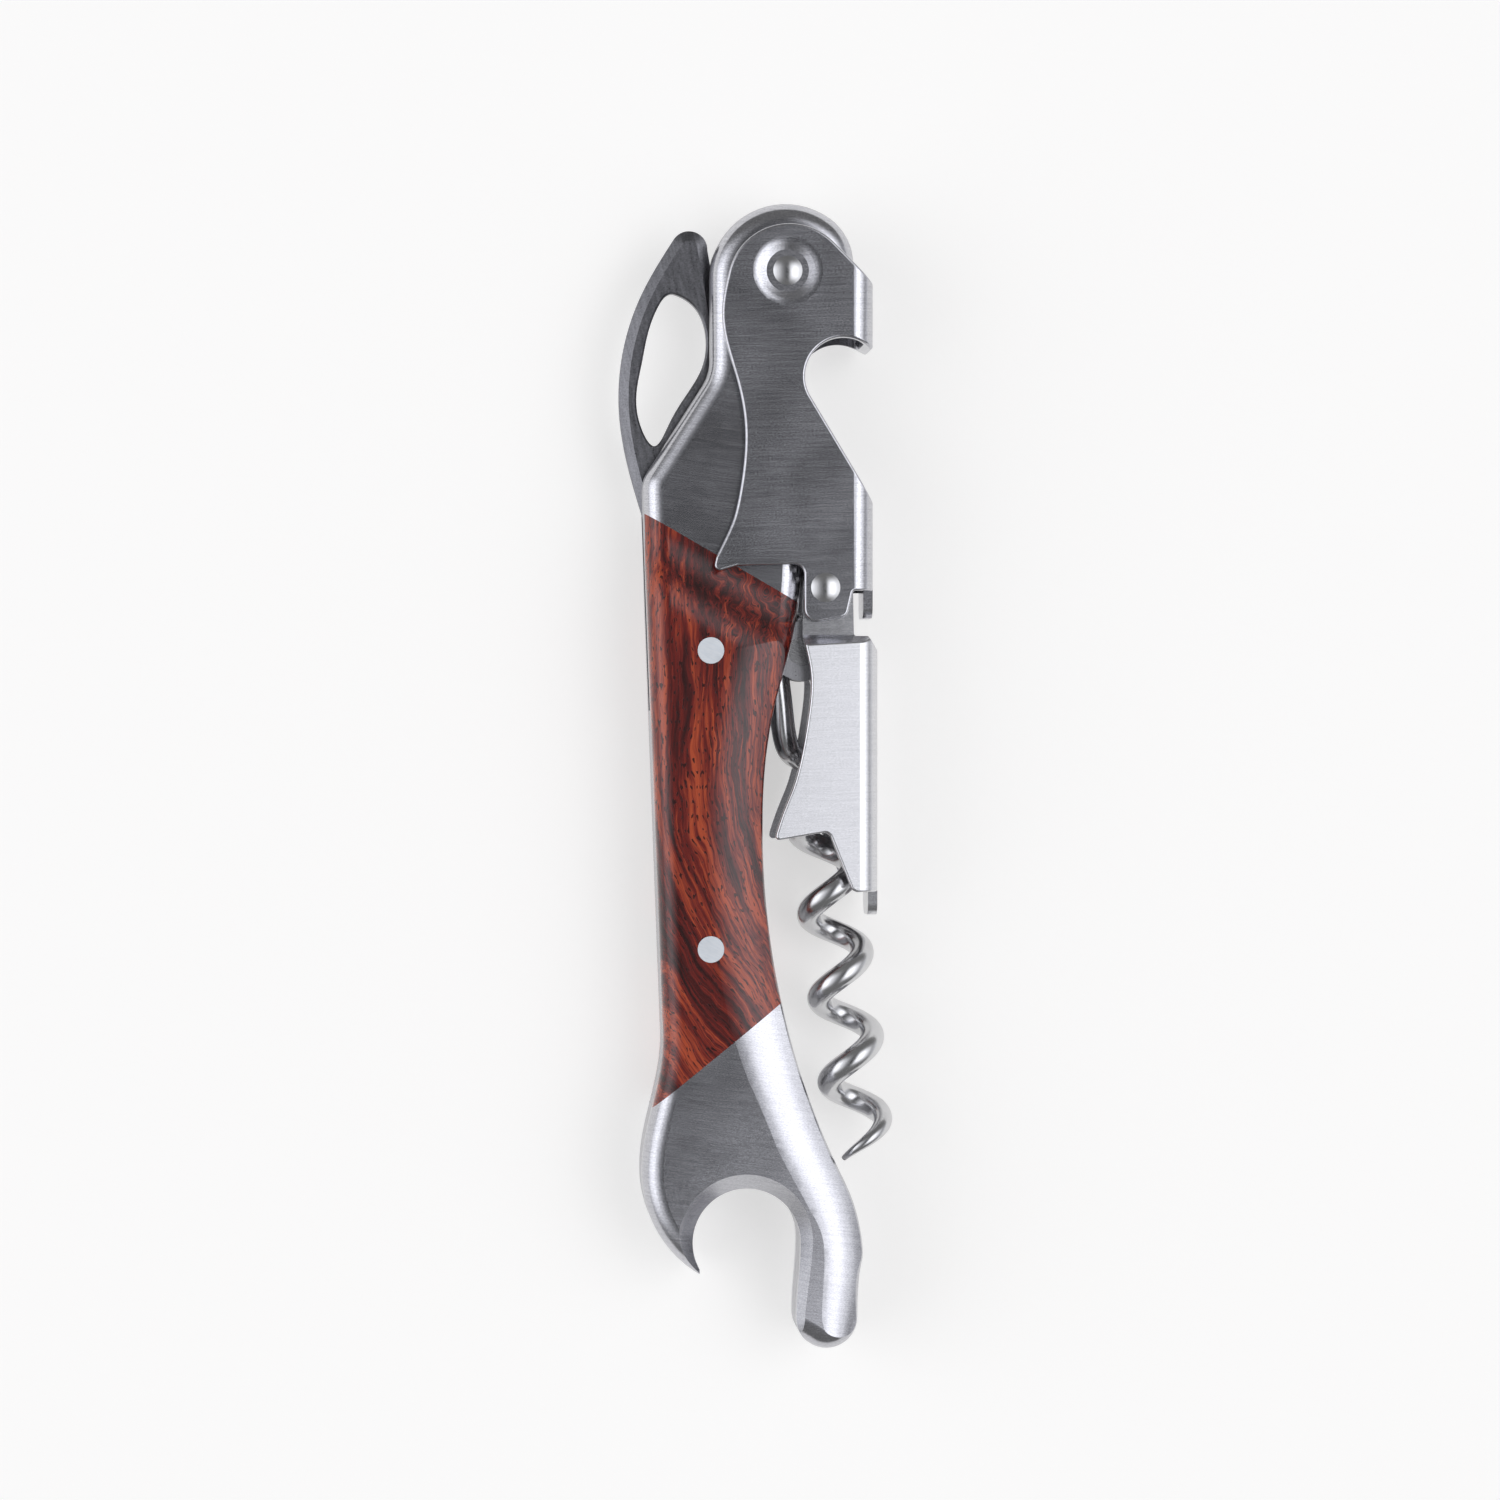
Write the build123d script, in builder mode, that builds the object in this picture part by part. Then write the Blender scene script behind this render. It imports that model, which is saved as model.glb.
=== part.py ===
from build123d import *
from math import cos, pi, radians, sin, sqrt, tan
import os

# Lever corkscrew of the folding waiter's kind, lying flat: a bolstered wood handle with a foil knife,
# a worm and a two-step lever. X runs across the handle, Y from the opener to the head, Z up.
# All pivots stand upright, and every level below is measured from the handle's mid-plane.

# Layers of the handle, from the mid-plane outwards
slot_width = 2.8
liner_sheet = 1.2
bolster_sheet = 1.4
scale_thickness = 3.4
tail_drop = 2.0
tail_run = 40.0
scale_ramp = 8.0
edge_round = 2.2
crown_width = 6.0
crown_end_width = 3.4
crown_drop = 1.3

# Lever sheet metal
lever_sheet = 1.0
lever_gap = 0.4
bend_radius = 2.2
dimple_depth = 0.35
dimple_floor = 4.5
dimple_mouth = 6.6
dimple_blend = 2.5
cheek_edge_round = 0.25

# Clearances
running_fit = 0.05
fixed_fit = 0.02
side_play = 0.1
blade_clearance = 0.4

# Pins and rivets, as diameters
scale_pin = 2.8
worm_pin = 3.0
rivet_shank = 2.4
rivet_head = 3.1
rivet_dome = 0.5
stud = 2.0
stud_depth = 0.9

# Pivots: the lever's is placed first, and each other one is stepped off from the one before
lever_pivot_x = 3.0
lever_pivot_y = 53.6
lever_reach = 33.6
hinge_offset = 4.0
worm_drop = 6.7
worm_inset = 2.25
knife_spacing = 9.95
pin_spacing = 31.6
opener_drop = 31.2
opener_offset = 3.9

# Handle outline
head_radius = 8.15
head_drop = 0.75
neck_width = 9.9
chin_step = 1.02
shoulder_round = 3.5
neck_round = 5.0
arm_end_radius = 3.3
head_joint_angle = -30
tail_joint_angle = 39

# Bottle opener
opener_radius = 5.75
opener_bevel = 1.8
prong_reach = 5.0
arm_wrap = 48

# Liner lobe that carries the worm
lobe_radius = 3.2

# Foil knife
blade_length = 45.0
blade_thickness = 1.6
tang_radius = 4.2
blade_bevel = 0.45
blade_grind = 0.6
hole_bevel = 0.2
washer_radius = 3.6

# Back spring, measured from the knife's pivot
spring_gap = 6.3
nose_gap = 3.4
nose_start = 0.3
nose_end = 3.0

# Levers
lever_head_radius = 6.6
lever_back = 9.2
beak_radius = 4.15
throat_angle = 31
heel_tab = 2.9
tab_half_width = 3.1
tab_round = 1.4
heel_drop = 0.3
foot_tab = 2.5
ear_radius = 2.35
ear_drop = 5.0
joggle_run = 0.9
lower_lever_length = 32.3
lower_back_step = 0.5
lower_flare = 4.0
lower_pinch = 0.25

# Worm
wire = 2.6
worm_mean_radius = 2.6
worm_pitch = 9.05
worm_turns = 4.9
worm_shank = 9.9
worm_lean = 7.0
worm_tip = 0.3

# Levels above the mid-plane
liner_in = slot_width / 2
liner_out = liner_in + liner_sheet
head_face = liner_out + bolster_sheet
handle_half = liner_out + scale_thickness
cheek_in = head_face + lever_gap
cheek_out = cheek_in + lever_sheet
ear_out = cheek_in - side_play
ear_in = ear_out - lever_sheet

# Places of the pivots in plan
P = Vector(lever_pivot_x, lever_pivot_y)
H = P + Vector(hinge_offset, -lever_reach)
Q = H + Vector(-worm_inset, -worm_drop)
K = Q - Vector(knife_spacing, 0)
L = K - Vector(0, pin_spacing)
N = L + Vector(opener_offset, -opener_drop)

middle = Plane.XY.offset(handle_half)
far = 80
side_view = Plane(origin=(-far, 0, handle_half), x_dir=(0, 1, 0), z_dir=(1, 0, 0))


def at(anchor, x, y):
    """A point of the plan, stepped off from a pivot or another anchor."""
    return anchor + Vector(x, y)


def joint_plane(point, angle):
    """The upright plane of a bolster joint, facing the opener end."""
    return Plane(origin=(point.X, point.Y, handle_half), z_dir=Vector(0, -1).rotate(Axis.Z, angle))


# Handle outline, closed across the opener so that its rounded rim is made before the notch is cut
neck_left_x = P.X - head_radius
neck_right_x = neck_left_x + neck_width
head_centre = at(P, 0, -head_drop)
arm_centre = at(N, 8.6, -8.1)
with BuildSketch() as handle_plan:
    with BuildLine():
        left_neck = FilletPolyline(
            at(L, -5.0, -9.0),
            at(K, -7.2, 18.1),
            (neck_left_x, P.Y - 10.8),
            (neck_left_x, head_centre.Y),
            radius=(shoulder_round, neck_round),
        )
        head_arc = CenterArc(head_centre, head_radius, 180, -125)
        cheek_arc = TangentArc(head_arc @ 1, at(P, 0.86 * head_radius, -0.6), tangent=head_arc % 1)
        chin_end = Vector(neck_right_x + chin_step, P.Y - 0.78 * head_radius)
        chin_arc = TangentArc(cheek_arc @ 1, chin_end, tangent=cheek_arc % 1)
        neck_right = FilletPolyline(
            chin_arc @ 1, (neck_right_x, P.Y - 0.88 * head_radius), (neck_right_x, H.Y + 4), radius=0.8
        )
        right_side = Spline(
            neck_right @ 1,
            at(Q, -0.55, 3.7),
            at(Q, -2.95, -5.4),
            at(L, 5.6, 12.3),
            at(L, 7.7, -6.1),
            at(N, 9.6, 8.2),
            at(N, 11.6, 3.6),
            at(N, 12.45, -1.0),
            at(arm_centre, arm_end_radius, 0),
            tangents=((0, -1), (0, -1)),
        )
        arm_end = CenterArc(arm_centre, arm_end_radius, 0, -119)
        prong_line = Line(arm_end @ 1, at(N, -5.3, -3.2))
        prong_arc = TangentArc(prong_line @ 1, at(N, -11.1, 6.5), tangent=prong_line % 1)
        Spline(prong_arc @ 1, left_neck @ 0, tangents=(prong_arc % 1, left_neck % 0))
    make_face()

head_joint = joint_plane(at(K, 1.2, 9.9), head_joint_angle)
tail_joint = joint_plane(at(L, 0.8, -11.2), tail_joint_angle)


def across(plane):
    """A sketch plane square to a bolster joint: its x runs towards the opener and its y runs up."""
    return Plane(origin=plane.origin - plane.x_dir * far, x_dir=plane.z_dir, z_dir=plane.x_dir)


def opener_notch(level, grow):
    """The bottle opener's notch at a level above the mid-plane, widened all round by its bevel."""
    radius = opener_radius + grow
    reach = prong_reach + grow
    arm_radius = arm_end_radius - grow
    with BuildSketch(middle.offset(level)) as notch:
        with BuildLine():
            prong_side = Line(at(N, -reach, -far), at(N, -reach, -sqrt(radius**2 - reach**2)))
            arch = ThreePointArc(prong_side @ 1, at(N, 0, radius), at(N, radius, 0))
            wrap = CenterArc(arm_centre, arm_radius, 180, arm_wrap)
            Spline(arch @ 1, wrap @ 0, tangents=((0, -1), (0, -1)))
            Polyline(wrap @ 1, at(wrap @ 1, 0, -far), prong_side @ 0)
        make_face()
    return notch.sketch


def tail_share(point):
    """How far a point of the plan lies from the opener's joint, as a share of the run of its falling top."""
    run = (point - tail_joint.origin).dot(tail_joint.z_dir)
    return max(0, run / tail_run)


def tail_fall(point):
    """How far the opener's top lies below the scales at a point of the plan."""
    return tail_drop * tail_share(point) ** 2


def bore(diameter, *points):
    """Upright holes right through the part being built."""
    with Locations(*[(p.X, p.Y, handle_half) for p in points]):
        Cylinder(diameter / 2, 2 * far, mode=Mode.SUBTRACT)


def rear_copy(front):
    """The piece of the rear half that mirrors one of the front half."""
    with BuildPart() as rear:
        mirror(front.part, about=middle)
    return rear


def save(node, name):
    """Label a finished piece and write it to its own file."""
    node.part.label = name
    export_step(node.part, f"parts/{name}.step")


os.makedirs("parts", exist_ok=True)


def crown_section(point, heading):
    """The cut that crowns the top at a point of the right side, in the upright plane square to it."""
    width = crown_width + (crown_end_width - crown_width) * tail_share(point)
    inner = at(point, width * heading.Y, -width * heading.X)
    edge, crest = [Vector(p.X, p.Y, 2 * handle_half - tail_fall(p)) for p in (point, inner)]
    with BuildSketch(Plane(origin=edge, x_dir=crest - edge, z_dir=heading)) as section:
        with BuildLine():
            crown = TangentArc((width, 0), (0, crown_drop), tangent=(-1, 0))
            Polyline(
                crown @ 1,
                (-edge_round, 2 * crown_drop),
                (-edge_round, -edge_round),
                (width, -edge_round),
                crown @ 0,
            )
        make_face()
    return section.sketch


# The crown follows the right side and runs on past the arm's end
crown_steps = 12
crown_stations = [i / crown_steps for i in range(crown_steps + 1)]
crown_cut = [crown_section(right_side @ t, right_side % t) for t in crown_stations]
crown_cut.append(crown_section(at(right_side @ 1, 0, -2 * arm_end_radius), right_side % 1))

# Front half of the handle as one block with a rounded rim, crowned along its right side, before it is
# divided into its pieces
with BuildPart() as front_half:
    with BuildSketch(middle):
        add(handle_plan.sketch)
    extrude(amount=handle_half)
    with BuildSketch(across(head_joint)):
        with BuildLine():
            face_line = Line((-far, head_face), (0, head_face))
            ramp_middle = (scale_ramp / 2, (head_face + handle_half) / 2)
            hollow = TangentArc(face_line @ 1, ramp_middle, tangent=face_line % 1)
            swell = TangentArc(hollow @ 1, (scale_ramp, handle_half), tangent=hollow % 1)
            Polyline(swell @ 1, (scale_ramp, far), (-far, far), face_line @ 0)
        make_face()
    extrude(amount=2 * far, mode=Mode.SUBTRACT)
    with BuildSketch(across(tail_joint)):
        with BuildLine():
            fall = TangentArc((0, handle_half), (tail_run, handle_half - tail_drop), tangent=(1, 0))
            Polyline(fall @ 1, (tail_run, far), (0, far), fall @ 0)
        make_face()
    extrude(amount=2 * far, mode=Mode.SUBTRACT)
    walls = front_half.faces().filter_by(lambda f: abs(f.normal_at().Z) < 0.01)
    rim = walls.edges().filter_by(lambda e: e.center().Z > handle_half + liner_out)
    fillet(rim.filter_by(Axis.Z, reverse=True), edge_round)
    loft(crown_cut, mode=Mode.SUBTRACT)
    extrude(opener_notch(0, 0), amount=2 * handle_half, mode=Mode.SUBTRACT)
    bevel = [opener_notch(handle_half - opener_bevel, 0), opener_notch(handle_half, opener_bevel)]
    loft(bevel, ruled=True, mode=Mode.SUBTRACT)

# Studs that hold the bolsters to the liners
head_studs = [at(P, -2.1, -13.6), at(P, -2.0, -26.4)]
tail_studs = [at(N, -7.0, 8.5), at(N, 8.2, 4.5)]
stud_bore = stud + 2 * fixed_fit
pin_bore = scale_pin + 2 * fixed_fit
rivet_bore = rivet_shank + 2 * fixed_fit

# Liners, with the lobe that carries the worm
with BuildPart() as front_liner:
    add(front_half.part)
    split(bisect_by=middle.offset(liner_out), keep=Keep.BOTTOM)
    split(bisect_by=middle.offset(liner_in), keep=Keep.TOP)
    with BuildSketch(middle.offset(liner_in)):
        with Locations(Q):
            Circle(lobe_radius)
    extrude(amount=liner_sheet)
    bore(pin_bore, K, L)
    bore(rivet_bore, P)
    bore(worm_pin + 2 * fixed_fit, Q)
    bore(stud_bore, *head_studs, *tail_studs)
rear_liner = rear_copy(front_liner)

# Head bolsters, wood scales and opener bolsters, parted at the two slanting joints
with BuildPart() as front_head_bolster:
    add(front_half.part)
    split(bisect_by=middle.offset(liner_out), keep=Keep.TOP)
    split(bisect_by=head_joint, keep=Keep.BOTTOM)
    bore(rivet_bore, P)
    with Locations(*[(p.X, p.Y, handle_half) for p in head_studs]):
        Cylinder(stud_bore / 2, 2 * (liner_out + stud_depth), mode=Mode.SUBTRACT)
rear_head_bolster = rear_copy(front_head_bolster)

with BuildPart() as front_scale:
    add(front_half.part)
    split(bisect_by=middle.offset(liner_out), keep=Keep.TOP)
    split(bisect_by=head_joint, keep=Keep.TOP)
    split(bisect_by=tail_joint, keep=Keep.BOTTOM)
    bore(pin_bore, K, L)
rear_scale = rear_copy(front_scale)

with BuildPart() as front_tail_bolster:
    add(front_half.part)
    split(bisect_by=middle.offset(liner_out), keep=Keep.TOP)
    split(bisect_by=tail_joint, keep=Keep.TOP)
    with Locations(*[(p.X, p.Y, handle_half) for p in tail_studs]):
        Cylinder(stud_bore / 2, 2 * (liner_out + stud_depth), mode=Mode.SUBTRACT)
rear_tail_bolster = rear_copy(front_tail_bolster)


def blade_point(across, along):
    """A point of the blade, in fractions of its length from the knife's pivot."""
    return at(K, across * blade_length, along * blade_length)


# Foil knife, folded into the left side of the slot
with BuildSketch() as blade_plan:
    with BuildLine():
        blade_back = Spline(
            at(K, -tang_radius, 0),
            blade_point(-0.162, 0.336),
            blade_point(-0.212, 0.569),
            blade_point(-0.198, 0.733),
            blade_point(-0.151, 0.862),
            blade_point(-0.082, 0.978),
            tangents=((0, 1), (0.54, 0.84)),
        )
        blade_tip = TangentArc(blade_back @ 1, blade_point(-0.002, 0.953), tangent=blade_back % 1)
        blade_edge = ThreePointArc(blade_tip @ 1, blade_point(0.042, 0.667), blade_point(0.076, 0.222))
        ricasso = Line(blade_edge @ 1, at(K, tang_radius, 0))
        ThreePointArc(ricasso @ 1, at(K, 0, -tang_radius), blade_back @ 0)
    make_face()
    with BuildLine():
        nail_hole = Spline(
            blade_point(-0.080, 0.847),
            blade_point(-0.022, 0.802),
            blade_point(-0.009, 0.693),
            blade_point(-0.091, 0.544),
            blade_point(-0.129, 0.487),
            blade_point(-0.162, 0.538),
            blade_point(-0.158, 0.682),
            blade_point(-0.120, 0.816),
            periodic=True,
        )
    make_face(mode=Mode.SUBTRACT)

with BuildPart() as knife_blade:
    with BuildSketch(middle):
        add(blade_plan.sketch)
    extrude(amount=blade_thickness / 2, both=True)
    bore(scale_pin + 2 * running_fit, K)
    for side, width in ((blade_back, blade_bevel), (blade_edge, blade_grind), (nail_hole, hole_bevel)):
        rims = knife_blade.faces().filter_by(Axis.Z).edges()
        chamfer(rims.filter_by(lambda e: abs(e.length - side.length) < 0.5), width)

# Washers that centre the blade in the slot
with BuildPart() as knife_washers:
    with BuildSketch(middle.offset(blade_thickness / 2 + running_fit)):
        with Locations(K):
            Circle(washer_radius)
            Circle(pin_bore / 2, mode=Mode.SUBTRACT)
    extrude(amount=liner_in - blade_thickness / 2 - running_fit)
    mirror(about=middle)

# Spacer that fills the slot of the head beside the blade
with BuildPart() as head_spacer:
    with BuildSketch(middle):
        add(handle_plan.sketch)
        with Locations(at(P, 0, 0)):
            Rectangle(2 * (P.X - neck_left_x) - 2, 2 * (P.Y - H.Y), mode=Mode.INTERSECT)
        offset(blade_plan.sketch, amount=blade_clearance, mode=Mode.SUBTRACT)
    extrude(amount=liner_in, both=True)
    bore(rivet_bore, P)
    bore(stud_bore, *head_studs)

# Back spring: the core of the opener and of the handle, with a nose that bears on the knife's tang
eye_radius = worm_pin / 2 + running_fit + wire / 2
with BuildPart() as back_spring:
    with BuildSketch(middle):
        add(handle_plan.sketch)
        with BuildLine():
            Polyline(
                at(K, -far, -spring_gap),
                at(K, nose_start, -spring_gap),
                at(K, nose_start, -nose_gap),
                at(K, nose_end, -nose_gap),
                at(K, nose_end, -spring_gap),
                at(K, far, -spring_gap),
                at(K, far, -2 * far),
                at(K, -far, -2 * far),
                close=True,
            )
        make_face(mode=Mode.INTERSECT)
        with Locations(K):
            Circle(tang_radius + blade_clearance / 2, mode=Mode.SUBTRACT)
        with Locations(at(Q, -eye_radius - wire / 2 - blade_clearance, -worm_shank / 2)):
            Rectangle(far, worm_shank + 2 * wire, align=(Align.MIN, Align.CENTER), mode=Mode.SUBTRACT)
    extrude(amount=liner_in, both=True)
    extrude(opener_notch(-far, 0), amount=2 * far, mode=Mode.SUBTRACT)
    bore(pin_bore, L)
    bore(stud_bore, *tail_studs)


def upright_pin(diameter, half_length, *points):
    """Plain pins through the handle, as long above the mid-plane as below it."""
    with BuildPart() as pin:
        with Locations(*[(p.X, p.Y, handle_half) for p in points]):
            Cylinder(diameter / 2, 2 * half_length)
    return pin


def rivet(point, seat):
    """A rivet with a domed head at each end, whose heads seat at a level above the mid-plane."""
    profile = Plane(origin=(point.X, point.Y, handle_half), x_dir=(1, 0, 0), z_dir=(0, -1, 0))
    with BuildPart() as part:
        with BuildSketch(profile):
            with BuildLine():
                dome = TangentArc(
                    (0, seat + rivet_dome), (rivet_head / 2, seat + rivet_dome / 4), tangent=(1, 0)
                )
                Polyline(
                    dome @ 1,
                    (rivet_head / 2, seat),
                    (rivet_shank / 2, seat),
                    (rivet_shank / 2, 0),
                    (0, 0),
                    dome @ 0,
                )
            make_face()
        revolve(axis=Axis((point.X, point.Y, 0), (0, 0, 1)))
        mirror(about=middle)
    return part


knife_pivot_pin = upright_pin(scale_pin, handle_half, K)
scale_lower_pin = upright_pin(scale_pin, handle_half, L)
worm_pivot_pin = upright_pin(worm_pin, liner_out, Q)
bolster_studs = upright_pin(stud, liner_out + stud_depth, *head_studs, *tail_studs)
lever_pivot_rivet = rivet(P, cheek_out - dimple_depth + running_fit)
lever_hinge_rivet = rivet(H, cheek_out)

# Upper lever: its cheek outline in plan, from the head round to the foot of the back
upper_back_x = P.X + lever_back
lever_head_centre = at(P, 0.2, -1.6)
beak_centre = at(P, 6.0, -11.2)
with BuildSketch() as upper_plan:
    with BuildLine():
        lever_head = CenterArc(lever_head_centre, lever_head_radius, 45, 120)
        waist = Spline(
            lever_head @ 1,
            at(P, -6.95, -5.1),
            at(P, -5.4, -11.6),
            at(P, -4.5, -17.6),
            at(P, -5.4, -25.1),
            at(H, -11.6, 3.2),
            tangents=(lever_head % 1, (-0.5, -1)),
        )
        first_step = FilletPolyline(
            waist @ 1,
            at(H, -12.0, 1.5),
            at(H, -9.3, 2.3),
            at(H, -2.25, 2.5),
            at(H, -2.25, -3.9),
            at(H, 2.3, -3.1),
            at(H, 2.95, -heel_drop),
            (upper_back_x, H.Y - heel_drop),
            radius=(0.6, 1.5, 1.1, 1.4, 1.0, 0.4),
        )
        brow_foot = Vector(upper_back_x, (lever_head @ 0).Y - (upper_back_x - (lever_head @ 0).X))
        Polyline(first_step @ 1, brow_foot, lever_head @ 0)
    make_face()


def channel(back_x, level, bend, flare=0, top=far):
    """What a bent sheet encloses above the mid-plane, up to a height in plan: its back stands at back_x,
    and its cheek starts at a level there and may flare upwards away from the back."""
    with BuildPart() as block:
        with BuildSketch(Plane(origin=(0, top, handle_half), x_dir=(1, 0, 0), z_dir=(0, -1, 0))):
            with BuildLine():
                mouth = level + far * tan(radians(flare))
                sheet = FilletPolyline((back_x, 0), (back_x, level), (back_x - far, mouth), radius=bend)
                Polyline(sheet @ 1, (back_x - far, 0), sheet @ 0)
            make_face()
        extrude(amount=2 * far)
    return block.part


def back_tab(back_x, y, length):
    """A round-cornered tab that carries a channel's back on, centred at a height in plan."""
    with BuildSketch(side_view.offset(far + back_x - lever_sheet)) as tab:
        with Locations((y, 0)):
            RectangleRounded(2 * length, 2 * tab_half_width, tab_round)
    extrude(tab.sketch, amount=lever_sheet)


def soften_cheeks(lever):
    """Round the outer edges of a lever's cheeks."""
    cheeks = lever.faces().sort_by(Axis.Z)
    outlines = cheeks[0].outer_wire().edges() + cheeks[-1].outer_wire().edges()
    fillet(outlines, cheek_edge_round)


with BuildPart() as upper_lever:
    with BuildSketch(middle):
        add(upper_plan.sketch)
    extrude(amount=handle_half)
    add(channel(upper_back_x, cheek_out, bend_radius), mode=Mode.INTERSECT)
    add(channel(upper_back_x - lever_sheet, cheek_in, bend_radius - lever_sheet), mode=Mode.SUBTRACT)
    with BuildSketch(middle):
        with Locations(beak_centre):
            Circle(beak_radius)
        with BuildLine():
            throat = beak_centre + Vector(-beak_radius, 0).rotate(Axis.Z, throat_angle)
            throat_end = throat + Vector(0, -4 * beak_radius).rotate(Axis.Z, throat_angle)
            Polyline(throat, throat_end, (throat_end.X, beak_centre.Y), beak_centre, close=True)
        make_face()
    extrude(amount=far, mode=Mode.SUBTRACT)
    with Locations((P.X, P.Y, handle_half + cheek_in - dimple_depth)):
        Cylinder(
            dimple_floor / 2 + dimple_depth,
            dimple_depth + lever_sheet / 2,
            align=(Align.CENTER, Align.CENTER, Align.MIN),
        )
    with Locations((P.X, P.Y, handle_half + cheek_out - dimple_depth)):
        Cone(
            dimple_floor / 2,
            dimple_mouth / 2,
            dimple_depth,
            align=(Align.CENTER, Align.CENTER, Align.MIN),
            mode=Mode.SUBTRACT,
        )
    back_tab(upper_back_x, H.Y - heel_drop, heel_tab)
    bore(rivet_shank + 2 * running_fit, P)
    bore(rivet_bore, H)
    mirror(about=middle)
    soften_cheeks(upper_lever)
    circles = upper_lever.edges().filter_by(GeomType.CIRCLE)
    fillet(circles.filter_by(lambda e: abs(e.radius - dimple_mouth / 2) < running_fit), dimple_blend)

# Lower lever: joggled ears that fit inside the upper lever, and the second rim step
lower_back_x = upper_back_x + lower_back_step
joggle_top = H.Y - ear_drop
with BuildSketch() as lower_plan:
    with BuildLine():
        ear_top = CenterArc(H, ear_radius, 90, 90)
        ear_left = Line(ear_top @ 1, at(H, -ear_radius, -5.2))
        throat_side = Spline(
            ear_left @ 1,
            at(H, -1.6, -9.0),
            at(H, -1.9, -14.0),
            at(H, -3.4, -21.0),
            at(H, -5.25, -26.0),
            tangents=((0.2, -1), (-0.3, -1)),
        )
        second_step = FilletPolyline(
            throat_side @ 1,
            at(H, -5.4, -26.85),
            at(H, 0.3, -25.9),
            at(H, 2.9, -lower_lever_length),
            (lower_back_x, H.Y - lower_lever_length),
            radius=(0.4, 0.8, 0.8),
        )
        shoulder = Polyline(
            second_step @ 1,
            (lower_back_x, H.Y - 6.7),
            (lower_back_x - 1.1, joggle_top - 0.1),
        )
        FilletPolyline(
            shoulder @ 1, at(H, 3.1, -5.1), at(H, 2.95, ear_radius), ear_top @ 0, radius=(0.3, 1.5)
        )
    make_face()

joggle_foot = joggle_top - joggle_run
core_top = joggle_foot - lever_sheet / 2
joggle_slope = (cheek_out - ear_out) / joggle_run
with BuildPart() as lower_lever:
    with BuildSketch(middle):
        add(lower_plan.sketch)
    extrude(amount=handle_half)
    level = cheek_out - lower_pinch
    face = channel(lower_back_x, level, bend_radius, lower_flare)
    add(face, mode=Mode.INTERSECT)
    inner_back_x = lower_back_x - lever_sheet
    core = channel(inner_back_x, level - lever_sheet, bend_radius - lever_sheet, lower_flare, core_top)
    add(core, mode=Mode.SUBTRACT)
    with BuildSketch(side_view):
        with BuildLine():
            Polyline(
                (core_top, 0),
                (core_top, cheek_in),
                (joggle_top - lever_sheet / 2, ear_in),
                (far, ear_in),
                (far, 0),
                close=True,
            )
        make_face()
    extrude(amount=far + lower_back_x - lever_sheet, mode=Mode.SUBTRACT)
    with BuildSketch(side_view):
        with BuildLine():
            Polyline(
                (joggle_foot - joggle_run, cheek_out + joggle_slope * joggle_run),
                (joggle_top, ear_out),
                (far, ear_out),
                (far, far),
                (joggle_foot - joggle_run, far),
                close=True,
            )
        make_face()
    extrude(amount=2 * far, mode=Mode.SUBTRACT)
    back_tab(lower_back_x, H.Y - lower_lever_length, foot_tab)
    bore(rivet_shank + 2 * running_fit, H)
    mirror(about=middle)
    soften_cheeks(lower_lever)

# Worm: one wire that wraps its pin, runs down as a shank and winds to a point
worm_plane = Plane(origin=(Q.X, Q.Y, handle_half), x_dir=Vector(1, 0).rotate(Axis.Z, worm_lean))


def worm_vector(across, along, depth):
    """A direction given across, along and square to the worm's plane."""
    return worm_plane.x_dir * across + worm_plane.y_dir * along + worm_plane.z_dir * depth


def worm_point(turn):
    """A point on the worm's helix, a number of radians after its start."""
    drop = worm_shank + worm_pitch * turn / (2 * pi)
    step = worm_vector(-worm_mean_radius * cos(turn), -drop, -worm_mean_radius * sin(turn))
    return worm_plane.origin + step


def worm_heading(turn):
    """The direction of the worm's helix there."""
    fall = worm_pitch / (2 * pi)
    return worm_vector(worm_mean_radius * sin(turn), -fall, -worm_mean_radius * cos(turn)).normalized()


def biarc(start, heading, end, end_heading):
    """Two arcs from one point and direction to another."""
    chord = end - start
    bend = 2 * (1 - heading.dot(end_heading))
    pull = chord.dot(heading + end_heading)
    reach = (sqrt(pull**2 + bend * chord.dot(chord)) - pull) / bend
    halfway = (start + end + (heading - end_heading) * reach) * 0.5
    first = TangentArc(start, halfway, tangent=heading)
    TangentArc(halfway, end, tangent=first % 1)


def winding(turn, next_turn):
    """Two arcs that follow the helix from one turn to another."""
    biarc(worm_point(turn), worm_heading(turn), worm_point(next_turn), worm_heading(next_turn))


first_turn = 0.5
point_turn = 2 * pi * (worm_turns - 0.5)
last_turn = 2 * pi * worm_turns
winding_steps = round(4 * worm_turns) - 2
shank_top = worm_plane.origin + worm_vector(-eye_radius, 0, 0)
shank_end = worm_plane.origin + worm_vector(-eye_radius, -worm_shank / 2, 0)
with BuildLine() as worm_path:
    with BuildLine(worm_plane):
        CenterArc((0, 0), eye_radius, -80, 260)
    Line(shank_top, shank_end)
    biarc(shank_end, worm_vector(0, -1, 0), worm_point(first_turn), worm_heading(first_turn))
    for step in range(winding_steps):
        quarter = (point_turn - first_turn) / winding_steps
        winding(first_turn + quarter * step, first_turn + quarter * (step + 1))
with BuildLine() as point_path:
    middle_turn = (point_turn + last_turn) / 2
    winding(point_turn, middle_turn)
    winding(middle_turn, last_turn)

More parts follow.
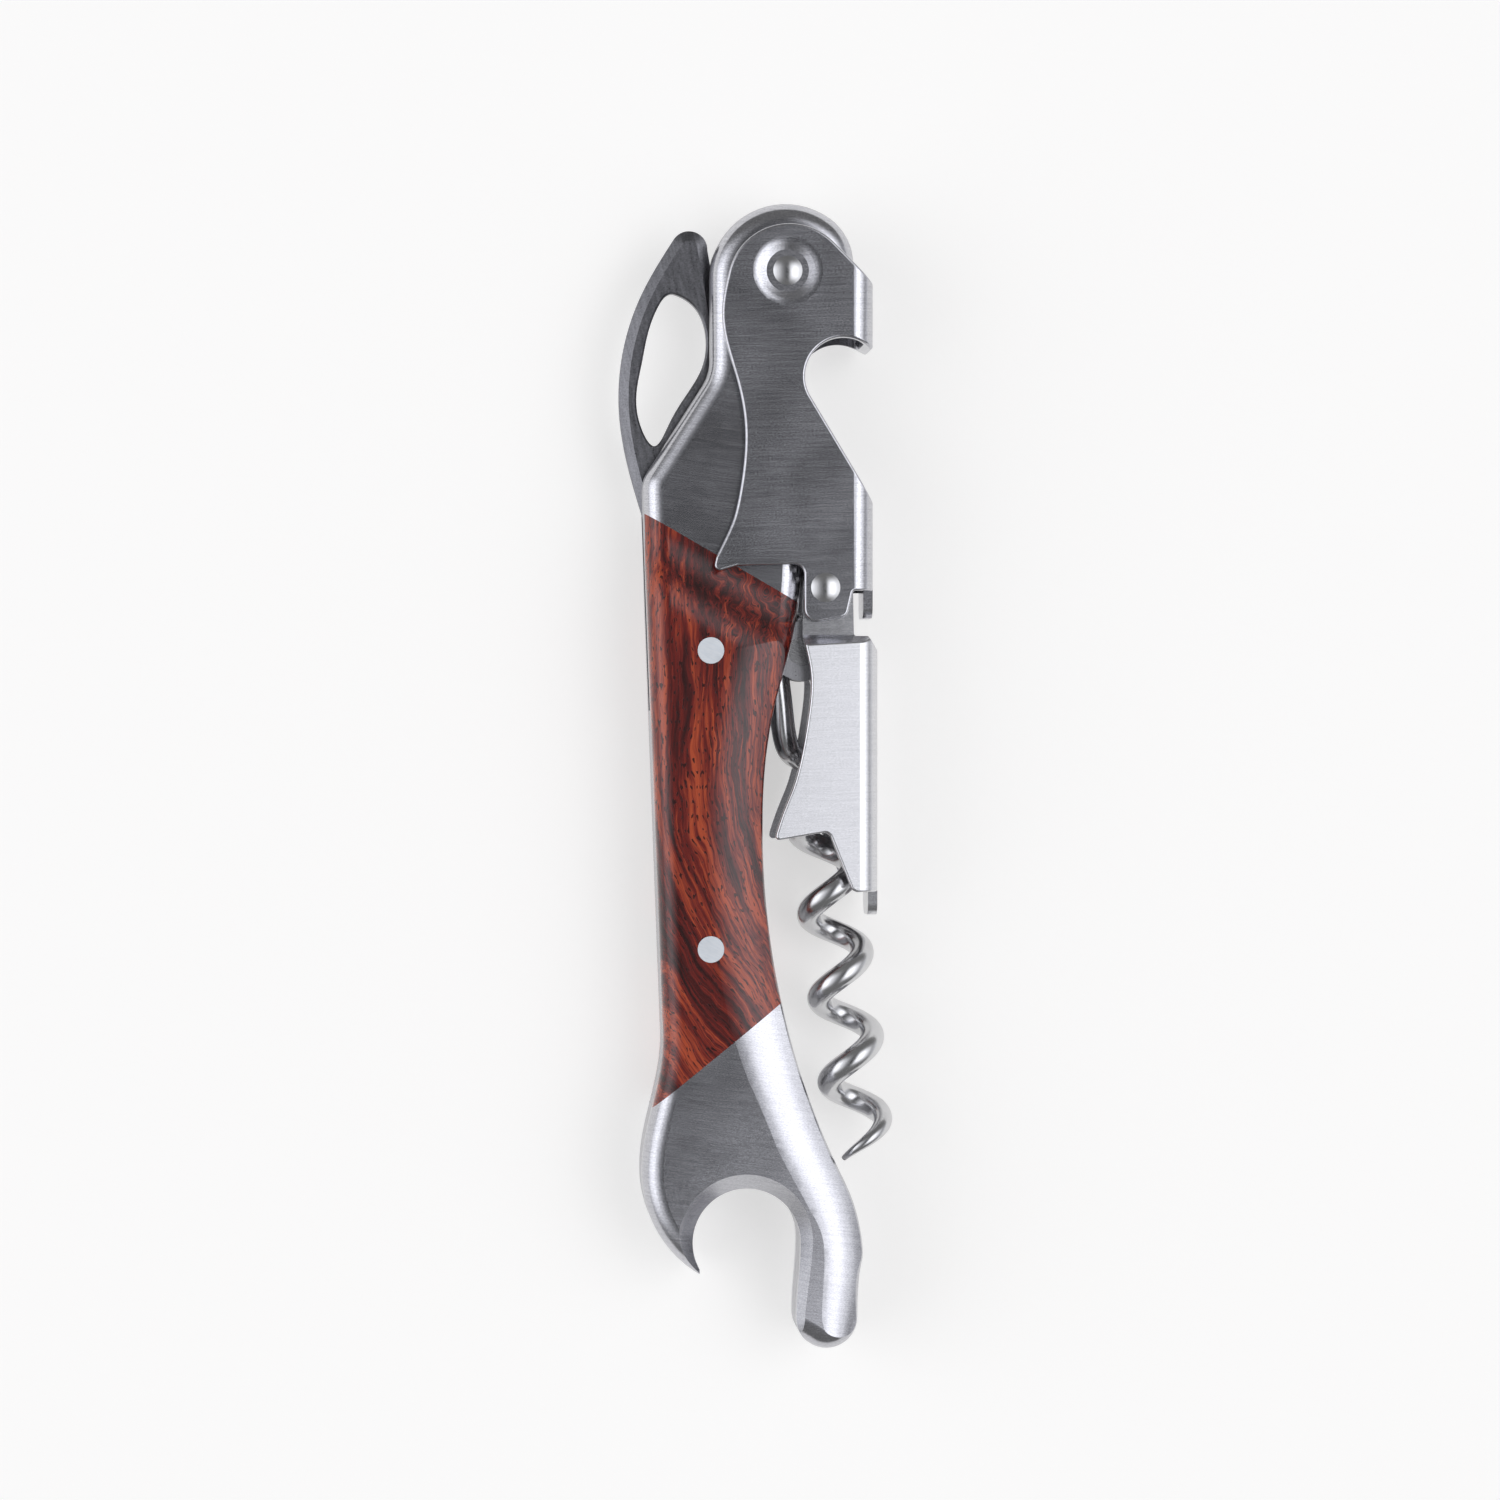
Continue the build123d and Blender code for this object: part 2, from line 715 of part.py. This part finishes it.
with BuildPart() as worm:
    with BuildSketch(Plane(origin=worm_path.wire() @ 0, z_dir=worm_path.wire() % 0)) as wire_section:
        Circle(wire / 2)
    sweep(path=worm_path.wire())
    with BuildSketch(Plane(origin=worm_point(point_turn), z_dir=worm_heading(point_turn))) as point_start:
        Circle(wire / 2)
    with BuildSketch(Plane(origin=worm_point(last_turn), z_dir=worm_heading(last_turn))) as point_end:
        Circle(worm_tip)
    sweep(
        sections=[point_start.sketch, point_end.sketch], path=point_path.wire(), multisection=True
    )

# Least gap of the worm to itself, measured on points along its wire
samples = 400
spacing = worm_path.wire().length / samples
wire_points = [worm_path.wire() @ (i / samples) for i in range(samples + 1)]
skip = round(3 * wire / spacing)
gaps = [(a - b).length for i, a in enumerate(wire_points) for b in wire_points[i + skip :]]
print(f"worm: least gap to itself {min(gaps) - wire:.2f} mm")

save(front_liner, "front_liner")
save(rear_liner, "rear_liner")
save(front_head_bolster, "front_head_bolster")
save(rear_head_bolster, "rear_head_bolster")
save(front_scale, "front_scale")
save(rear_scale, "rear_scale")
save(front_tail_bolster, "front_tail_bolster")
save(rear_tail_bolster, "rear_tail_bolster")
save(head_spacer, "head_spacer")
save(back_spring, "back_spring")
save(knife_blade, "knife_blade")
save(knife_washers, "knife_washers")
save(knife_pivot_pin, "knife_pivot_pin")
save(scale_lower_pin, "scale_pin")
save(bolster_studs, "bolster_studs")
save(worm, "worm")
save(worm_pivot_pin, "worm_pivot_pin")
save(upper_lever, "upper_lever")
save(lower_lever, "lower_lever")
save(lever_pivot_rivet, "lever_pivot_rivet")
save(lever_hinge_rivet, "lever_hinge_rivet")
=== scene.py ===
import bpy
from math import atan, cos, pi, radians, sin
from mathutils import Matrix, Vector


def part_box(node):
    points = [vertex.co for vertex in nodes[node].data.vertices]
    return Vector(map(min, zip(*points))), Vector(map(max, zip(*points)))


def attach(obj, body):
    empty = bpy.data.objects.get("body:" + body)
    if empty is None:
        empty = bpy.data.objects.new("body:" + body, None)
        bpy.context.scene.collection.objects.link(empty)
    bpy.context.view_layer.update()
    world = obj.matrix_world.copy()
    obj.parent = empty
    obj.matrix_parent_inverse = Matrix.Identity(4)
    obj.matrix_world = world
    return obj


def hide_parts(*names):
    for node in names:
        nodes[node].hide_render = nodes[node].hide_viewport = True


# Looks of the folding lever corkscrew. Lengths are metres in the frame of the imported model, and values
# given in millimetres are multiplied by MM.

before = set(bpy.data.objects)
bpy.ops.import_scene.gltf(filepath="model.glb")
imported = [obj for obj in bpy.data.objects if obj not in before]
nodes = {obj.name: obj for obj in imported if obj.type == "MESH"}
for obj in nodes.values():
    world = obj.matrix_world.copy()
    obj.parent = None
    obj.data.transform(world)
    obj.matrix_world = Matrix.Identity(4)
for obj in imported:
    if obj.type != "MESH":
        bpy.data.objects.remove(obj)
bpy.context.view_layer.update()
scene = bpy.context.scene
MM = 0.001

# Camera: above the folded corkscrew and a little to its left
AIM = Vector((-0.70, 2.78, 6.0)) * MM
CAMERA_DISTANCE = 500 * MM
CAMERA_TILT = radians(3.5)
CAMERA_NEAREST = 10 * MM
FRAME_PIXELS = 1500
FOCAL_PIXELS = 4673

# Light: a studio whose brightness changes softly from the left horizon over the zenith to the right one,
# given by the angle in degrees from the zenith, and fades to one grey beyond the handle's ends
STUDIO_STOPS = [
    (-90, 0.60),
    (-72, 1.40),
    (-52, 1.60),
    (-32, 0.80),
    (-14, 0.26),
    (-2, 0.07),
    (7, 0.05),
    (13, 1.12),
    (20, 1.70),
    (34, 1.90),
    (48, 1.15),
    (70, 0.40),
    (90, 0.75),
]
STUDIO_STRENGTH = 1.2
STUDIO_TINT = (0.95, 0.96, 1.0)
END_GREY = 0.16
END_FROM = 0.20
END_TO = 0.70

# Floor: a pale plane, lifted to the white of a backdrop where it is seen directly or in the metal
FLOOR_COLOUR = (0.61, 0.60, 0.58, 1)
FLOOR_ROUGHNESS = 0.9
FLOOR_LIFT = 0.545
FLOOR_REACH = 3.0
FLOOR_DROP = 0.05 * MM

# Metals: colours, each from dark to light grain where there are two, and the turn of the brush lines
STEEL_DARK = (0.46, 0.46, 0.49)
STEEL_LIGHT = (0.64, 0.64, 0.67)
TAIL_LIGHT = (0.62, 0.62, 0.65)
# The lower lever's pair is a lighter copy of the lever steel: a painted highlight that stands in for the
# broad sheen across the lower lever
PAINTED_SHEEN_DARK = (0.62, 0.62, 0.64)
PAINTED_SHEEN_LIGHT = (0.74, 0.74, 0.76)
PLATE_DARK = (0.44, 0.44, 0.46)
PLATE_LIGHT = (0.56, 0.56, 0.58)
BRIGHT_STEEL = (0.66, 0.66, 0.67)
HIDDEN_STEEL = (0.60, 0.60, 0.61)
PIN_WHITE = (0.94, 0.97, 1.0)
HANDLE_BRUSH = radians(8)
LEVER_BRUSH = radians(-2)
PLATE_BRUSH = radians(90)

# Brushed steel: noise scales per metre along and across the brush lines, shares, ranges and reliefs
BRUSH_LINES = (240, 6200, 240)
BRUSH_SPECKLE = (5000, 10500, 5000)
LINES_SHARE = 0.40
SPECKLE_SHARE = 0.60
GRAIN_RANGE = (0.36, 0.64)
STRAY_LINES = (120, 9000, 120)
STRAY_TURN = radians(58)
STRAY_RANGE = (0.76, 0.80)
SMUDGE_SCALE = 170
SMUDGE_ROUGHNESS = 0.02
BRUSH_RELIEF = 0.015
STRAY_RELIEF = 0.06
BRUSH_DEPTH = 0.006 * MM

# Polished steel: hair-fine marks and a faint cloud
MARK_LINES = (900, 5000, 900)
MARK_TURN = radians(25)
MARK_RELIEF = 0.02
MARK_DEPTH = 0.008 * MM
CLOUD_SCALE = 420
CLOUD_SHADE = 0.9
ROUGHNESS_SPREAD = 0.2

# Where most of a noise's values lie
MIDDLE_RANGE = (0.3, 0.7)

# Blade steel: a speckle and lines from the stamping
BLADE_SPECKLE_SCALE = 5200
BLADE_LINES = (2600, 260, 260)
BLADE_TURN = radians(-12)
BLADE_CLOUD_SCALE = 170
BLADE_STOPS = [(0.32, (0.13, 0.13, 0.14)), (0.68, (0.32, 0.32, 0.34))]
BLADE_SPECKLE_SHARE = 0.55
BLADE_LINES_SHARE = 0.45
BLADE_GRAIN_SHARE = 0.8
BLADE_CLOUD_SHARE = 0.2
BLADE_FINISH = (0.26, 0.38)
BLADE_RELIEF = 0.16
BLADE_DEPTH = 0.03 * MM

# Rosewood, in millimetres: the grain runs down the handle, sweeps to the right below its middle, and
# swirls around a knot beside the head
GRAIN_SWEEP_TOP = 3.0
GRAIN_SWEEP = 0.013
GRAIN_WANDER = 3.0
WANDER_SCALE = (0.20, 0.09, 0.20)
SWIRL_PLACE = (1.5, 20.5, 11.0)
SWIRL_REACH = 8.0
SWIRL_PULL = 14.0
EDDY_SCALE = 0.33
WOOD_BANDS = (0.50, 0.024, 0.20)
WOOD_STREAKS = (1.9, 0.06, 1.0)
WOOD_FIBRES = (7.5, 0.25, 4.0)
WOOD_PORES = (5.0, 1.3, 5.0)
BANDS_SHARE = 0.46
STREAKS_SHARE = 0.36
FIBRES_SHARE = 0.18
PORE_RANGE = (0.66, 0.69)
PORE_SHADE = 0.9
WOOD_FINISH = (0.32, 0.24)
FIBRE_RELIEF = 0.10
FIBRE_DEPTH = 0.04 * MM
PORE_RELIEF = 0.35
PORE_DEPTH = 0.06 * MM
WOOD_BLACK = (0.030, 0.0062, 0.0060)
WOOD_DARK = (0.080, 0.0110, 0.0102)
WOOD_RED = (0.200, 0.0215, 0.0160)
WOOD_ORANGE = (0.540, 0.0930, 0.0370)
WOOD_STOPS = [(0.405, WOOD_BLACK), (0.46, WOOD_DARK), (0.515, WOOD_RED), (0.59, WOOD_ORANGE)]

# Worm: the wire's centre line in millimetres, in a plane that leans at its pivot pin
WIRE_RADIUS = 1.285
EYE_START = radians(-80)
EYE_SWEEP = radians(260)
PIN_PLAY = 0.05
WORM_LEAN = radians(7)
WORM_RADIUS = 2.6
WORM_PITCH = 9.05
WORM_TURNS = 4.9
POINT_TURNS = 0.5
SHANK = 9.9
FIRST_TURN = 0.5
TIP_RADIUS = 0.3

# Steps of the wire's mesh along its stretches, and sides around it
EYE_STEPS = 64
SHANK_STEPS = 6
RUN_STEPS = 24
HELIX_STEPS = 260
RING_SIDES = 28


class Nodes:
    """A node tree, with short ways to add and join its nodes."""

    def __init__(self, tree):
        self.tree = tree

    def add(self, kind):
        return self.tree.nodes.new("ShaderNode" + kind)

    def put(self, socket, value):
        if isinstance(value, bpy.types.NodeSocket):
            self.tree.links.new(value, socket)
        else:
            socket.default_value = value

    def split(self, place):
        node = self.add("SeparateXYZ")
        self.put(node.inputs[0], place)
        return node.outputs

    def joined(self, x, y, z):
        node = self.add("CombineXYZ")
        for socket, value in zip(node.inputs, (x, y, z)):
            self.put(socket, value)
        return node.outputs[0]

    def math(self, operation, a, b=0.0, clamp=False):
        node = self.add("Math")
        node.operation = operation
        node.use_clamp = clamp
        self.put(node.inputs[0], a)
        self.put(node.inputs[1], b)
        return node.outputs[0]

    def blend(self, *parts):
        """The sum of values, each times its share."""
        weighted = [self.math("MULTIPLY", value, share) for value, share in parts]
        total = weighted[0]
        for value in weighted[1:]:
            total = self.math("ADD", total, value)
        return total

    def spread(self, value, low, high, to_low=0.0, to_high=1.0, curve="LINEAR"):
        """The value's range from low to high, laid over another range."""
        node = self.add("MapRange")
        node.interpolation_type = curve
        for index, number in enumerate((low, high, to_low, to_high), start=1):
            node.inputs[index].default_value = number
        self.put(node.inputs[0], value)
        return node.outputs[0]

    def ramp(self, value, stops, curve="LINEAR"):
        node = self.add("ValToRGB")
        node.color_ramp.interpolation = curve
        elements = node.color_ramp.elements
        while len(elements) < len(stops):
            elements.new(0.5)
        for element, (position, colour) in zip(elements, stops):
            element.position = position
            element.color = (*colour, 1)
        self.put(node.inputs[0], value)
        return node.outputs[0]

    def mix(self, factor, a, b):
        """A colour between two, each a socket or three numbers."""
        node = self.add("Mix")
        node.data_type = "RGBA"
        self.put(node.inputs["Factor"], factor)
        for index, colour in ((6, a), (7, b)):
            self.put(node.inputs[index], colour if isinstance(colour, bpy.types.NodeSocket) else (*colour, 1))
        return node.outputs[2]


class Shader(Nodes):
    """A material, whose surface is set by the names of its inputs."""

    def __init__(self, name):
        self.material = bpy.data.materials.new(name)
        self.material.use_nodes = True
        super().__init__(self.material.node_tree)
        self.surface = self.tree.nodes["Principled BSDF"]
        self.place = self.add("TexCoord").outputs["Object"]

    def set(self, **inputs):
        for name, value in inputs.items():
            self.put(self.surface.inputs[name.replace("_", " ")], value)

    def stretched(self, scale, turn=0.0, place=None):
        """Coordinates turned about Z and then scaled."""
        turned = self.add("Mapping")
        turned.inputs["Rotation"].default_value = (0, 0, turn)
        self.put(turned.inputs["Vector"], place or self.place)
        scaled = self.add("Mapping")
        scaled.inputs["Scale"].default_value = scale
        self.put(scaled.inputs["Vector"], turned.outputs["Vector"])
        return scaled.outputs["Vector"]

    def noise(self, place, scale=1.0, detail=2.0, roughness=0.5):
        node = self.add("TexNoise")
        self.put(node.inputs["Vector"], place)
        node.inputs["Scale"].default_value = scale
        node.inputs["Detail"].default_value = detail
        node.inputs["Roughness"].default_value = roughness
        return node.outputs["Fac"]

    def centred(self, noise):
        return self.math("SUBTRACT", noise, 0.5)

    def distance(self, place, centre):
        node = self.add("VectorMath")
        node.operation = "DISTANCE"
        self.put(node.inputs[0], place)
        node.inputs[1].default_value = centre
        return node.outputs["Value"]

    def bump(self, height, strength, depth, under=None):
        """A relief, on top of another where one is given."""
        node = self.add("Bump")
        node.inputs["Strength"].default_value = strength
        node.inputs["Distance"].default_value = depth
        self.put(node.inputs["Height"], height)
        if under:
            self.put(node.inputs["Normal"], under)
        return node.outputs["Normal"]


def link(obj):
    scene.collection.objects.link(obj)
    return obj


def add_camera():
    data = bpy.data.cameras.new("camera")
    data.sensor_fit = "HORIZONTAL"
    data.angle = 2 * atan(FRAME_PIXELS / 2 / FOCAL_PIXELS)
    data.clip_start = CAMERA_NEAREST
    camera = link(bpy.data.objects.new("camera", data))
    camera.location = AIM + Vector((-sin(CAMERA_TILT), 0, cos(CAMERA_TILT))) * CAMERA_DISTANCE
    camera.rotation_euler = (0, -CAMERA_TILT, 0)
    scene.camera = camera


def add_studio():
    """Soft light in bands that run along the handle and darken beyond its ends."""
    world = bpy.data.worlds.new("studio")
    world.use_nodes = True
    sky = Nodes(world.node_tree)
    x, y, z = sky.split(sky.add("TexCoord").outputs["Generated"])
    lean = sky.spread(sky.math("ARCTAN2", x, z), -pi / 2, pi / 2)
    stops = [((angle + 90) / 180, [grey * tint for tint in STUDIO_TINT]) for angle, grey in STUDIO_STOPS]
    bands = sky.ramp(lean, stops, curve="EASE")
    end = sky.spread(sky.math("ABSOLUTE", y), END_FROM, END_TO, curve="SMOOTHSTEP")
    background = sky.tree.nodes["Background"]
    sky.put(background.inputs["Color"], sky.mix(end, bands, (END_GREY, END_GREY, END_GREY)))
    sky.put(background.inputs["Strength"], STUDIO_STRENGTH)
    scene.world = world


def add_floor():
    corners = [(-1, -1), (1, -1), (1, 1), (-1, 1)]
    points = [(x * FLOOR_REACH, y * FLOOR_REACH, -FLOOR_DROP) for x, y in corners]
    mesh = bpy.data.meshes.new("floor")
    mesh.from_pydata(points, [], [(0, 1, 2, 3)])
    floor = link(bpy.data.objects.new("floor", mesh))
    s = Shader("floor")
    s.set(Base_Color=FLOOR_COLOUR, Roughness=FLOOR_ROUGHNESS, Specular_IOR_Level=0.0)
    path = s.add("LightPath").outputs
    seen = s.math("ADD", path["Is Camera Ray"], path["Is Glossy Ray"])
    s.set(Emission_Color=(1, 1, 1, 1), Emission_Strength=s.math("MULTIPLY", seen, FLOOR_LIFT))
    mesh.materials.append(s.material)


def brushed_steel(name, dark, light, finish, brush):
    """Stainless steel with fine brush lines, a fine speckle, faint smudges and a few stray scratches."""
    s = Shader(name)
    lines = s.noise(s.stretched(BRUSH_LINES, brush), detail=2, roughness=0.6)
    speckle = s.noise(s.stretched(BRUSH_SPECKLE, brush), detail=1)
    grain = s.blend((lines, LINES_SHARE), (speckle, SPECKLE_SHARE))
    scratches = s.noise(s.stretched(STRAY_LINES, brush + STRAY_TURN), detail=1)
    stray = s.spread(scratches, *STRAY_RANGE)
    smudge = s.noise(s.place, scale=SMUDGE_SCALE, detail=3)
    smudged = s.spread(smudge, *MIDDLE_RANGE, -SMUDGE_ROUGHNESS, SMUDGE_ROUGHNESS)
    s.set(Base_Color=s.mix(s.spread(grain, *GRAIN_RANGE), dark, light), Metallic=1.0)
    s.set(Roughness=s.math("ADD", s.spread(grain, *GRAIN_RANGE, *finish), smudged, clamp=True))
    fine = s.bump(grain, BRUSH_RELIEF, BRUSH_DEPTH)
    s.set(Normal=s.bump(stray, STRAY_RELIEF, -BRUSH_DEPTH, fine))
    return s.material


def polished_steel(name, colour, roughness):
    """Bright steel with hair-fine marks."""
    s = Shader(name)
    marks = s.noise(s.stretched(MARK_LINES, MARK_TURN), detail=3)
    cloud = s.noise(s.place, scale=CLOUD_SCALE, detail=2)
    shaded = [channel * CLOUD_SHADE for channel in colour]
    s.set(Base_Color=s.mix(s.spread(cloud, *MIDDLE_RANGE), shaded, colour), Metallic=1.0)
    smooth = roughness * (1 - ROUGHNESS_SPREAD)
    rough = roughness * (1 + ROUGHNESS_SPREAD)
    s.set(Roughness=s.spread(marks, *MIDDLE_RANGE, smooth, rough))
    s.set(Normal=s.bump(marks, MARK_RELIEF, MARK_DEPTH))
    return s.material


def blade_steel(name):
    """Stamped blade steel: a dull, faintly speckled satin."""
    s = Shader(name)
    speckle = s.noise(s.place, scale=BLADE_SPECKLE_SCALE, detail=2, roughness=0.7)
    lines = s.noise(s.stretched(BLADE_LINES, BLADE_TURN), detail=3)
    cloud = s.noise(s.place, scale=BLADE_CLOUD_SCALE, detail=3)
    grain = s.blend((speckle, BLADE_SPECKLE_SHARE), (lines, BLADE_LINES_SHARE))
    tone = s.blend((grain, BLADE_GRAIN_SHARE), (cloud, BLADE_CLOUD_SHARE))
    s.set(Base_Color=s.ramp(tone, BLADE_STOPS), Metallic=1.0)
    s.set(Roughness=s.spread(grain, *MIDDLE_RANGE, *BLADE_FINISH))
    s.set(Normal=s.bump(grain, BLADE_RELIEF, BLADE_DEPTH))
    return s.material


def rosewood(name):
    """Oiled wood with broad bands, darker streaks, fine fibres and open pores."""
    s = Shader(name)
    millimetres = s.stretched((1 / MM, 1 / MM, 1 / MM))
    x, y, z = s.split(millimetres)
    swirl = s.spread(s.distance(millimetres, SWIRL_PLACE), 0, SWIRL_REACH, 1, 0)
    eddy = s.math("MULTIPLY", s.centred(s.noise(millimetres, scale=EDDY_SCALE, detail=2)), swirl)
    below = s.math("MAXIMUM", s.math("SUBTRACT", GRAIN_SWEEP_TOP, y), 0)
    sweep = s.math("MULTIPLY", s.math("MULTIPLY", below, below), GRAIN_SWEEP)
    wander = s.centred(s.noise(s.stretched(WANDER_SCALE, place=millimetres), detail=3))
    across = s.math("SUBTRACT", x, sweep)
    across = s.math("ADD", across, s.math("MULTIPLY", wander, GRAIN_WANDER))
    across = s.math("ADD", across, s.math("MULTIPLY", eddy, SWIRL_PULL))
    grain = s.joined(across, y, z)
    bands = s.noise(s.stretched(WOOD_BANDS, place=grain), detail=2)
    streaks = s.noise(s.stretched(WOOD_STREAKS, place=grain), detail=3, roughness=0.6)
    fibres = s.noise(s.stretched(WOOD_FIBRES, place=grain), detail=2, roughness=0.6)
    tone = s.blend((bands, BANDS_SHARE), (streaks, STREAKS_SHARE), (fibres, FIBRES_SHARE))
    pore = s.spread(s.noise(s.stretched(WOOD_PORES, place=grain), detail=0), *PORE_RANGE)
    s.set(Base_Color=s.mix(s.math("MULTIPLY", pore, PORE_SHADE), s.ramp(tone, WOOD_STOPS), WOOD_BLACK))
    s.set(Roughness=s.spread(streaks, *MIDDLE_RANGE, *WOOD_FINISH))
    s.set(Specular_IOR_Level=0.25, Coat_Weight=0.75, Coat_Roughness=0.14)
    relief = s.bump(fibres, FIBRE_RELIEF, FIBRE_DEPTH)
    s.set(Normal=s.bump(pore, PORE_RELIEF, -PORE_DEPTH, relief))
    return s.material


def helix(turn):
    down = SHANK + WORM_PITCH * turn / (2 * pi)
    return Vector((-WORM_RADIUS * cos(turn), -down, -WORM_RADIUS * sin(turn)))


def helix_heading(turn):
    heading = Vector((WORM_RADIUS * sin(turn), -WORM_PITCH / (2 * pi), -WORM_RADIUS * cos(turn)))
    return heading.normalized()


def worm_line(eye_radius):
    """Points along the wire, each with its radius: the eye, the shank, the run into the helix, the helix."""
    line = []
    for i in range(EYE_STEPS):
        angle = EYE_START + EYE_SWEEP * i / EYE_STEPS
        line.append((Vector((eye_radius * cos(angle), eye_radius * sin(angle), 0)), WIRE_RADIUS))
    for i in range(SHANK_STEPS):
        line.append((Vector((-eye_radius, -SHANK / 2 * i / SHANK_STEPS, 0)), WIRE_RADIUS))
    start = Vector((-eye_radius, -SHANK / 2, 0))
    end = helix(FIRST_TURN)
    pull = (end - start).length
    for i in range(RUN_STEPS):
        t = i / RUN_STEPS
        point = start * (2 * t**3 - 3 * t**2 + 1) + end * (3 * t**2 - 2 * t**3)
        point += Vector((0, -1, 0)) * pull * (t**3 - 2 * t**2 + t)
        point += helix_heading(FIRST_TURN) * pull * (t**3 - t**2)
        line.append((point, WIRE_RADIUS))
    last = 2 * pi * WORM_TURNS
    taper_from = 2 * pi * (WORM_TURNS - POINT_TURNS)
    for i in range(HELIX_STEPS + 1):
        turn = FIRST_TURN + (last - FIRST_TURN) * i / HELIX_STEPS
        ground = max(0, (turn - taper_from) / (last - taper_from))
        line.append((helix(turn), WIRE_RADIUS + (TIP_RADIUS - WIRE_RADIUS) * ground))
    return line


def wire_rings(line):
    """Rings of points around the line, each turned as little as it can be from the one before."""
    points = [point for point, radius in line]
    beyond = 2 * points[-1] - points[-2]
    headings = [(b - a).normalized() for a, b in zip(points, points[1:] + [beyond])]
    angles = [2 * pi * k / RING_SIDES for k in range(RING_SIDES)]
    rings = []
    side = Vector((0, 0, 1))
    for (point, radius), heading in zip(line, headings):
        side = (side - heading * side.dot(heading)).normalized()
        other = heading.cross(side)
        rings.append([point + (side * cos(a) + other * sin(a)) * radius for a in angles])
    return rings


def wire_faces(ring_count):
    """Four-sided faces between the rings, and a cap on each end."""
    faces = []
    for i in range(ring_count - 1):
        for k in range(RING_SIDES):
            a = i * RING_SIDES + k
            b = i * RING_SIDES + (k + 1) % RING_SIDES
            faces.append((a, b, b + RING_SIDES, a + RING_SIDES))
    start_cap = list(range(RING_SIDES))[::-1]
    end_cap = [(ring_count - 1) * RING_SIDES + k for k in range(RING_SIDES)]
    return faces + [start_cap, end_cap]


def add_worm():
    """The wire in place of the solid worm, with its eye around the pivot pin."""
    low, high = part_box("worm_pivot_pin")
    pin_radius = (high[0] - low[0]) / 2 / MM
    pivot = (Vector(low) + Vector(high)) / 2
    place = Matrix.Translation(pivot) @ Matrix.Rotation(WORM_LEAN, 4, "Z") @ Matrix.Scale(MM, 4)
    rings = wire_rings(worm_line(pin_radius + PIN_PLAY + WIRE_RADIUS))
    mesh = bpy.data.meshes.new("worm_wire")
    mesh.from_pydata([place @ point for ring in rings for point in ring], [], wire_faces(len(rings)))
    mesh.shade_smooth()
    for cap in mesh.polygons[-2:]:
        cap.use_smooth = False
    wire = link(bpy.data.objects.new("worm_wire", mesh))
    mesh.materials.append(polished_steel("worm_steel", BRIGHT_STEEL, roughness=0.22))
    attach(wire, "worm")
    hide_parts("worm")


def dress(material, *names):
    for name in names:
        slots = nodes[name].data.materials
        slots.clear()
        slots.append(material)


def dress_cad_nodes():
    bolster = brushed_steel("bolster_steel", STEEL_DARK, STEEL_LIGHT, finish=(0.17, 0.20), brush=HANDLE_BRUSH)
    dress(bolster, "front_head_bolster", "rear_head_bolster")
    tail = brushed_steel("tail_steel", STEEL_DARK, TAIL_LIGHT, finish=(0.21, 0.24), brush=HANDLE_BRUSH)
    dress(tail, "front_tail_bolster", "rear_tail_bolster")
    lever = brushed_steel("lever_steel", STEEL_DARK, STEEL_LIGHT, finish=(0.18, 0.22), brush=LEVER_BRUSH)
    dress(lever, "upper_lever")
    # The lower lever's lighter colours are a painted highlight over the whole lever, on top of its slightly
    # rougher finish
    satin = brushed_steel(
        "lower_lever_steel", PAINTED_SHEEN_DARK, PAINTED_SHEEN_LIGHT, finish=(0.23, 0.26), brush=LEVER_BRUSH
    )
    dress(satin, "lower_lever")
    plate = brushed_steel("liner_steel", PLATE_DARK, PLATE_LIGHT, finish=(0.28, 0.40), brush=PLATE_BRUSH)
    dress(plate, "front_liner", "rear_liner", "head_spacer", "back_spring", "knife_washers", "bolster_studs")
    dress(blade_steel("blade_steel"), "knife_blade")
    rivet = polished_steel("rivet_steel", BRIGHT_STEEL, roughness=0.22)
    dress(rivet, "lever_pivot_rivet", "lever_hinge_rivet")
    dress(polished_steel("pin_metal", PIN_WHITE, roughness=0.72), "knife_pivot_pin", "scale_pin")
    dress(polished_steel("hidden_pin_steel", HIDDEN_STEEL, roughness=0.25), "worm_pivot_pin", "worm")
    dress(rosewood("rosewood"), "front_scale", "rear_scale")


add_camera()
add_studio()
add_floor()
dress_cad_nodes()
add_worm()
scene.view_settings.view_transform = "Standard"
